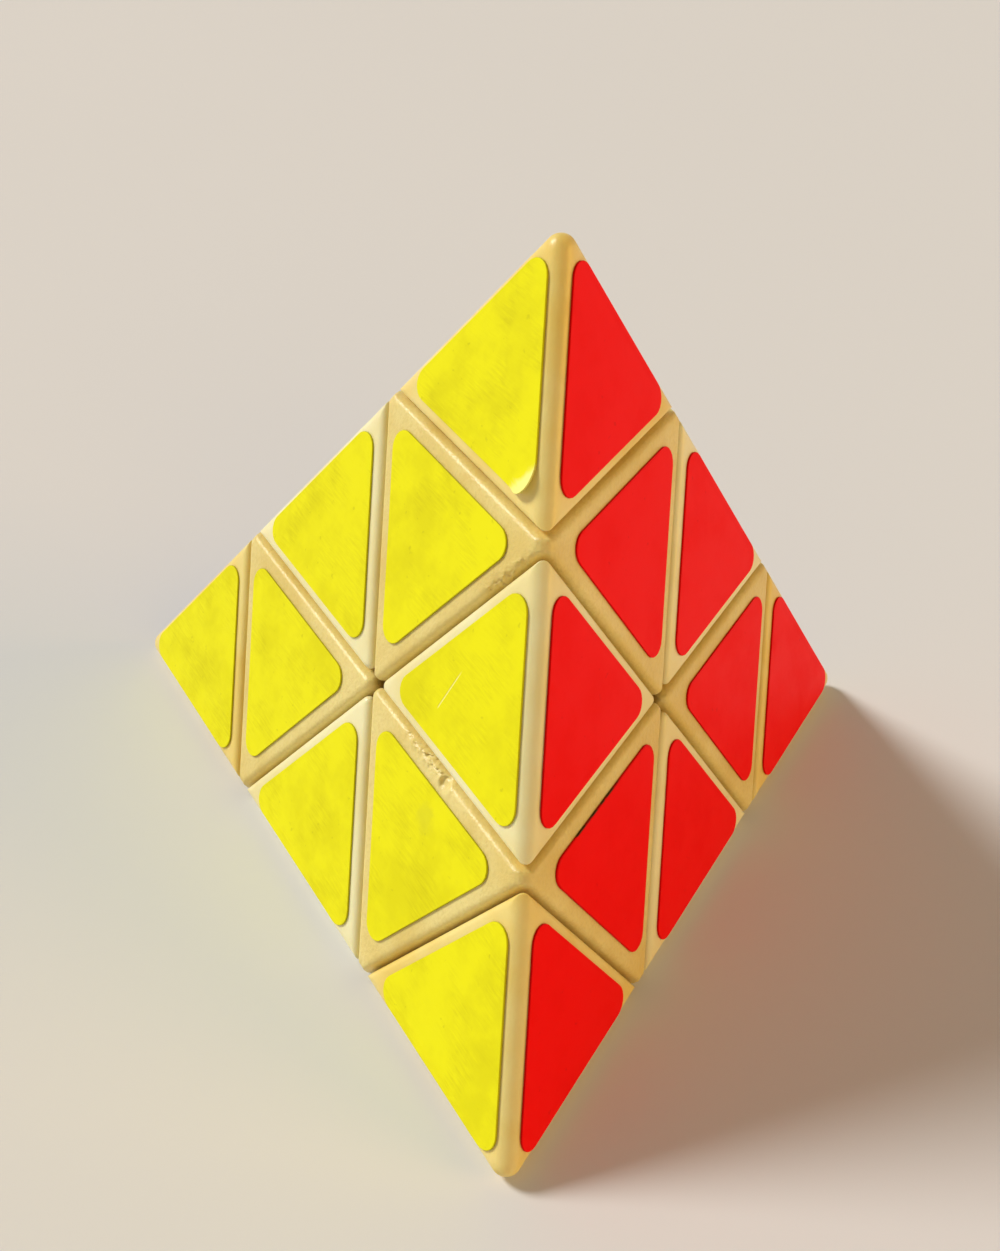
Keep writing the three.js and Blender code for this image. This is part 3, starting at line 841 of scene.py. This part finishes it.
class Value:
    """A number that varies over a surface: a socket whose arithmetic adds Math nodes."""

    def __init__(self, shader, socket):
        self.shader = shader
        self.socket = socket

    def math(self, operation, *others, clamp=False):
        inputs = {0: self, **{i + 1: other for i, other in enumerate(others)}}
        settings = {"operation": operation, "use_clamp": clamp}
        return self.shader.node("ShaderNodeMath", settings, inputs)

    def __add__(self, other):
        return self.math("ADD", other)

    def __radd__(self, other):
        return self.math("ADD", other)

    def __sub__(self, other):
        return self.math("SUBTRACT", other)

    def __rsub__(self, other):
        return self.math("MULTIPLY_ADD", -1, other)

    def __mul__(self, other):
        return self.math("MULTIPLY", other)

    def __rmul__(self, other):
        return self.math("MULTIPLY", other)

    def __pow__(self, other):
        return self.math("POWER", other)

    def above(self, low, high):
        """0 below low and 1 above high, smooth between."""
        return self.shader.node(
            "ShaderNodeMapRange",
            {"interpolation_type": "SMOOTHSTEP"},
            {"Value": self, "From Min": low, "From Max": high},
        )

    def clamped(self):
        return self.math("ADD", 0, clamp=True)


class Shader:
    """One material. Values and colours are nodes; a constant sits on the shader's own socket."""

    def __init__(self, name, **constants):
        self.material = bpy.data.materials.new(name)
        self.material.use_nodes = True
        self.tree = self.material.node_tree
        self.surface = self.tree.nodes["Principled BSDF"]
        for label, constant in constants.items():
            self.surface.inputs[label.replace("_", " ")].default_value = constant
        self.place = self.node("ShaderNodeTexCoord", {}, {}, "Object")

    def node(self, kind, settings, inputs, output=0):
        """Adds a node, sets its settings and then its sockets, and returns one output as a Value."""
        made = self.tree.nodes.new(kind)
        for label, setting in settings.items():
            setattr(made, label, setting)
        for label, given in inputs.items():
            if isinstance(given, Value):
                self.tree.links.new(given.socket, made.inputs[label])
            else:
                made.inputs[label].default_value = given
        return Value(self, made.outputs[output])

    def feed(self, label, value):
        self.tree.links.new(value.socket, self.surface.inputs[label])

    def attribute(self, label):
        return self.node("ShaderNodeAttribute", {"attribute_name": label}, {}, "Fac")

    def noise(self, scale, detail=2.0, roughness=0.5, place=None):
        inputs = {"Vector": place or self.place, "Scale": scale, "Detail": detail, "Roughness": roughness}
        return self.node("ShaderNodeTexNoise", {}, inputs, "Fac")

    def along(self, direction):
        """The distance along a direction, in millimetres."""
        return self.node(
            "ShaderNodeVectorMath",
            {"operation": "DOT_PRODUCT"},
            {0: self.place, 1: tuple(np.array(direction) / MM)},
            "Value",
        )

    def point(self, x, y, z):
        return self.node("ShaderNodeCombineXYZ", {}, {"X": x, "Y": y, "Z": z})

    def mix(self, share, first, second):
        """A colour between two colours, each a Value or a constant."""
        def given(colour):
            return colour if isinstance(colour, Value) else (*colour, 1.0)

        inputs = {0: share, 6: given(first), 7: given(second)}
        return self.node("ShaderNodeMix", {"data_type": "RGBA"}, inputs, 2)

    def bump(self, height, distance):
        """Relief: height times distance in millimetres."""
        inputs = {"Height": height, "Distance": distance * MM, "Strength": 1.0}
        self.feed("Normal", self.node("ShaderNodeBump", {}, inputs, "Normal"))


def shell_plastic(name, clean, aged, painted_seam_shade, sparkle, gloss):
    """Moulded plastic gone yellow in patches, with fine grain and faint scuffs, and painted shade that turns
    it darker and more golden in the seams.

    Sparkle is how much the grain shows, and gloss is the roughness between the scuffs.
    """
    shader = Shader(name, IOR=1.5, Subsurface_Weight=0.15, Subsurface_Scale=0.002)
    shader.surface.inputs["Subsurface Radius"].default_value = (1.0, 0.6, 0.2)
    patches = shader.noise(70, 3.0, 0.6).above(0.35, 0.66)
    grain = shader.noise(2300, 2.0, 0.6)
    depth = shader.attribute("depth")
    colour = shader.mix(patches, clean, aged)
    colour = shader.mix(grain.above(0.4, 0.7) * sparkle * 0.3, colour, tuple(0.86 * c for c in aged))
    # Painted shade: seams, hollows and cavities turn darker and more golden with their depth below the faces.
    colour = shader.mix(depth.above(0.3, 2.6) * 0.8, colour, painted_seam_shade)
    shader.feed("Base Color", colour)
    scuffs = shader.noise(380, 4.0, 0.7).above(0.48, 0.72)
    shader.feed("Roughness", gloss + 0.14 * scuffs - 0.10 * sparkle * grain)
    relief = 0.45 * shader.noise(700, 3.0, 0.6) + sparkle * 1.9 * grain + 0.2 * scuffs
    shader.bump(relief, 0.045)
    return shader.material


def inside_disc(shader, first, second, place, radius):
    """1 within a disc of a face, fading to 0 at its border: a smudge's shape."""
    reach = ((first - place[0]) ** 2 + (second - place[1]) ** 2) ** 0.5
    return 1 - (reach + 1.4 * (shader.noise(500, 3.0, 0.6) - 0.5) * radius).above(0.45 * radius, radius)


def along_scratch(first, second, start, end, half_width):
    """1 on a straight scratch between two points of a face, 0 off it."""
    side = np.array(end) - np.array(start)
    length = math.hypot(*side)
    heading = side / length
    travelled = (first - start[0]) * heading[0] + (second - start[1]) * heading[1]
    aside = (first - start[0]) * heading[1] - (second - start[1]) * heading[0]
    line = 1 - aside.math("ABSOLUTE").above(0.4 * half_width, half_width)
    return line * travelled.above(0, 0.6) * (1 - travelled.above(length - 1.5, length))


def vinyl(name, clean, worn, face, brushed, specular, marked=False):
    """Printed vinyl: smudged in patches, brushed along its face's lowest border, with painted shade darkening
    its cut rim.

    Brushed is how much the streaks show. A marked vinyl has the smudge, the scratch, and a painted highlight
    on the peeled corner's flap past its fold.
    """
    shader = Shader(name, IOR=1.45, Specular_IOR_Level=specular)
    along, across = face_directions(face)
    first, second = shader.along(along), shader.along(across)
    streaks = shader.noise(1.0, 3.0, 0.6, shader.point(first * 0.4, second * 3.6, 0.0))
    smudges = shader.noise(120, 4.0, 0.62).above(0.40, 0.70)
    spots = shader.noise(900, 2.0, 0.6).above(0.68, 0.76)
    patches = shader.noise(190, 2.0, 0.5).above(0.42, 0.62)
    colour = shader.mix((smudges * 0.5 + (streaks - 0.4) * patches * brushed * 1.3).clamped(), clean, worn)
    colour = shader.mix(spots * 0.25, colour, tuple(0.6 * c for c in worn))
    relief = brushed * 0.5 * streaks + 0.5 * shader.noise(150, 3.0, 0.55) + 0.1 * shader.noise(1400, 2.0, 0.5)
    if marked:
        smudge = inside_disc(shader, first, second, *SMUDGE)
        scratch = along_scratch(first, second, *SCRATCH)
        colour = shader.mix(smudge * 0.18, colour, (0.42, 0.38, 0.06))
        # The scratch is paler vinyl; the flap past the peeled corner's fold is painted paler too, a painted
        # highlight of the light it faces.
        colour = shader.mix((scratch + shader.attribute("fold")) * 0.6, colour, (1.0, 0.97, 0.42))
        relief = relief - scratch * 0.8
    rim = shader.attribute("rim")
    # Painted shade darkens the cut rim, more where the rim is grimy; the grime itself comes next.
    colour = shader.mix((rim * 0.4).clamped(), colour, tuple(0.5 * c for c in worn))
    colour = shader.mix(rim.above(1.1, 2.4) * shader.noise(1100, 2.0, 0.6).above(0.4, 0.55), colour, GRIME)
    shader.feed("Base Color", colour)
    shader.feed("Roughness", VINYL_GLOSS + 0.12 * smudges + brushed * 0.25 * streaks)
    shader.bump(relief, 0.05)
    return shader.material


def steel(name, tint, gloss):
    """Plated steel, drawn or turned, with a little uneven polish."""
    shader = Shader(name, Metallic=1.0)
    patches = shader.noise(900, 3.0, 0.6)
    shader.feed("Base Color", shader.mix(patches, tint, tuple(0.72 * c for c in tint)))
    shader.feed("Roughness", gloss + 0.2 * patches)
    shader.bump(shader.noise(3000, 2.0, 0.5), 0.01)
    return shader.material


GRIME = (0.09, 0.035, 0.012)
VINYL_GLOSS = 0.34
# The seam colour of each plastic is painted shade, for its seams and hollows.
MATERIALS = {
    "tip": shell_plastic(
        "cream plastic", clean=(0.86, 0.71, 0.26), aged=(0.82, 0.60, 0.14), painted_seam_shade=(0.70, 0.46, 0.11),
        sparkle=0.2, gloss=0.36,
    ),
    "axial": shell_plastic(
        "tan plastic", clean=(0.82, 0.69, 0.27), aged=(0.74, 0.57, 0.17), painted_seam_shade=(0.64, 0.42, 0.11),
        sparkle=1.0, gloss=0.42,
    ),
    "edge": shell_plastic(
        "ivory plastic", clean=(0.88, 0.83, 0.50), aged=(0.84, 0.74, 0.35), painted_seam_shade=(0.72, 0.52, 0.18),
        sparkle=0.15, gloss=0.34,
    ),
    "core": shell_plastic(
        "core nylon", clean=(0.80, 0.76, 0.64), aged=(0.74, 0.68, 0.52), painted_seam_shade=(0.74, 0.68, 0.52),
        sparkle=0.1, gloss=0.45,
    ),
    "screw": steel("screw steel", (0.60, 0.61, 0.63), 0.28),
    "spring": steel("spring steel", (0.66, 0.67, 0.70), 0.2),
    "yellow": vinyl(
        "yellow vinyl", clean=(0.86, 0.83, 0.002), worn=(0.66, 0.61, 0.004), face="right",
        brushed=1.0, specular=0.15, marked=True,
    ),
    "red": vinyl(
        "red vinyl", clean=(0.96, 0.001, 0.0), worn=(0.90, 0.001, 0.0), face="left",
        brushed=0.15, specular=0.06,
    ),
    "blue": vinyl(
        "blue vinyl", clean=(0.012, 0.075, 0.55), worn=(0.012, 0.06, 0.42), face="front",
        brushed=0.3, specular=0.15,
    ),
    "green": vinyl(
        "green vinyl", clean=(0.006, 0.36, 0.06), worn=(0.006, 0.28, 0.05), face="top",
        brushed=0.3, specular=0.15,
    ),
}

# ------------------------------------------------------------------ the puzzle

tip_shape = tip_grids()
axial_shape = axial_grids(EDGE_COLUMNS)
chewed_shape = axial_grids(FINE_COLUMNS)
edge_shape = edge_grids()
worn_pieces = [ridge[0] for ridge in CHEWED_RIDGES]
for corner in CORNERS:
    shell_piece(f"tip_{corner}", tip_shape, half_turn(corner), MATERIALS["tip"])
    name = f"axial_{corner}"
    shape = chewed_shape if name in worn_pieces else axial_shape
    shell_piece(name, shape, half_turn(corner), MATERIALS["axial"])
for first, second in EDGES:
    name = f"edge_{first}_{second}"
    shell_piece(name, edge_shape, edge_turn(first, second), MATERIALS["edge"])
for opposite, colour in FACE_COLOURS.items():
    stickers_on_face(opposite, colour)
mechanism()

# ------------------------------------------------------------------ studio

FLOOR_SIZE = 60.0  # metres
HORIZON_STRENGTH = 0.62
ZENITH_STRENGTH = 0.12
CAMERA_AIM = Vector((-1.7, 4.2, 5.1)) * MM
CAMERA_AZIMUTH = -4.64
CAMERA_ELEVATION = 38.2
CAMERA_DISTANCE = 188.1 * MM
CAMERA_ROLL = math.radians(6.05)
CAMERA_LENS = 45.7
SUNS = (  # name, azimuth, elevation, width in degrees, strength, colour
    ("key", -112, 37, 16, 2.8, (1.0, 0.95, 0.86)),
    ("fill", 76, 20, 30, 1.2, (1.0, 0.54, 0.08)),
    ("front", 20, 24, 30, 0.25, (1.0, 0.60, 0.16)),
)


def direction_back(azimuth, elevation):
    """From the puzzle towards a camera or light, from degrees round from -Y and degrees up."""
    a, e = math.radians(azimuth), math.radians(elevation)
    return Vector((math.sin(a) * math.cos(e), -math.cos(a) * math.cos(e), math.sin(e)))


def add_floor():
    low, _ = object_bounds()
    half = FLOOR_SIZE / 2
    mesh = bpy.data.meshes.new("studio_floor")
    corners = [(-half, -half, low.z), (half, -half, low.z), (half, half, low.z), (-half, half, low.z)]
    mesh.from_pydata(corners, [], [(0, 1, 2, 3)])
    floor = bpy.data.objects.new("studio_floor", mesh)
    bpy.context.scene.collection.objects.link(floor)
    shader = Shader("studio floor")
    cloudy = shader.noise(3, 2.0, 0.5)
    shader.feed("Base Color", shader.mix(cloudy, (0.78, 0.80, 0.84), (0.74, 0.76, 0.80)))
    shader.surface.inputs["Roughness"].default_value = 0.8
    mesh.materials.append(shader.material)


def add_soft_sun(name, azimuth, elevation, width, strength, colour):
    """A distant soft light as wide as the given angle; azimuth 0 stands on the -Y side, 90 on the +X side."""
    data = bpy.data.lights.new(name, "SUN")
    data.angle = math.radians(width)
    data.energy = strength
    data.color = colour
    light = bpy.data.objects.new(name, data)
    light.rotation_euler = direction_back(azimuth, elevation).to_track_quat("Z", "Y").to_euler()
    bpy.context.scene.collection.objects.link(light)


def add_camera():
    back = direction_back(CAMERA_AZIMUTH, CAMERA_ELEVATION)
    data = bpy.data.cameras.new("camera")
    data.sensor_width = 36
    data.lens = CAMERA_LENS
    data.clip_start = 0.01
    camera = bpy.data.objects.new("camera", data)
    camera.location = CAMERA_AIM + back * CAMERA_DISTANCE
    turned = back.to_track_quat("Z", "Y") @ Euler((0, 0, CAMERA_ROLL)).to_quaternion()
    camera.rotation_mode = "QUATERNION"
    camera.rotation_quaternion = turned
    bpy.context.scene.collection.objects.link(camera)
    bpy.context.scene.camera = camera


def add_world():
    """A pale haze along the horizon, for a backdrop that runs on from the floor, and a dimmer sky above."""
    world = bpy.data.worlds.new("studio")
    world.use_nodes = True
    nodes, links = world.node_tree.nodes, world.node_tree.links
    place = nodes.new("ShaderNodeTexCoord")
    parts = nodes.new("ShaderNodeSeparateXYZ")
    height = nodes.new("ShaderNodeMapRange")
    height.interpolation_type = "SMOOTHSTEP"
    span = {"From Min": 0.2, "From Max": 0.7, "To Min": HORIZON_STRENGTH, "To Max": ZENITH_STRENGTH}
    for label, level in span.items():
        height.inputs[label].default_value = level
    background = nodes["Background"]
    background.inputs["Color"].default_value = (1.0, 0.96, 0.89, 1)
    links.new(place.outputs["Generated"], parts.inputs["Vector"])
    links.new(parts.outputs["Z"], height.inputs["Value"])
    links.new(height.outputs["Result"], background.inputs["Strength"])
    bpy.context.scene.world = world


def add_studio():
    add_world()
    for sun in SUNS:
        add_soft_sun(*sun)
    add_floor()
    add_camera()
    bpy.context.scene.view_settings.view_transform = "Standard"


add_studio()
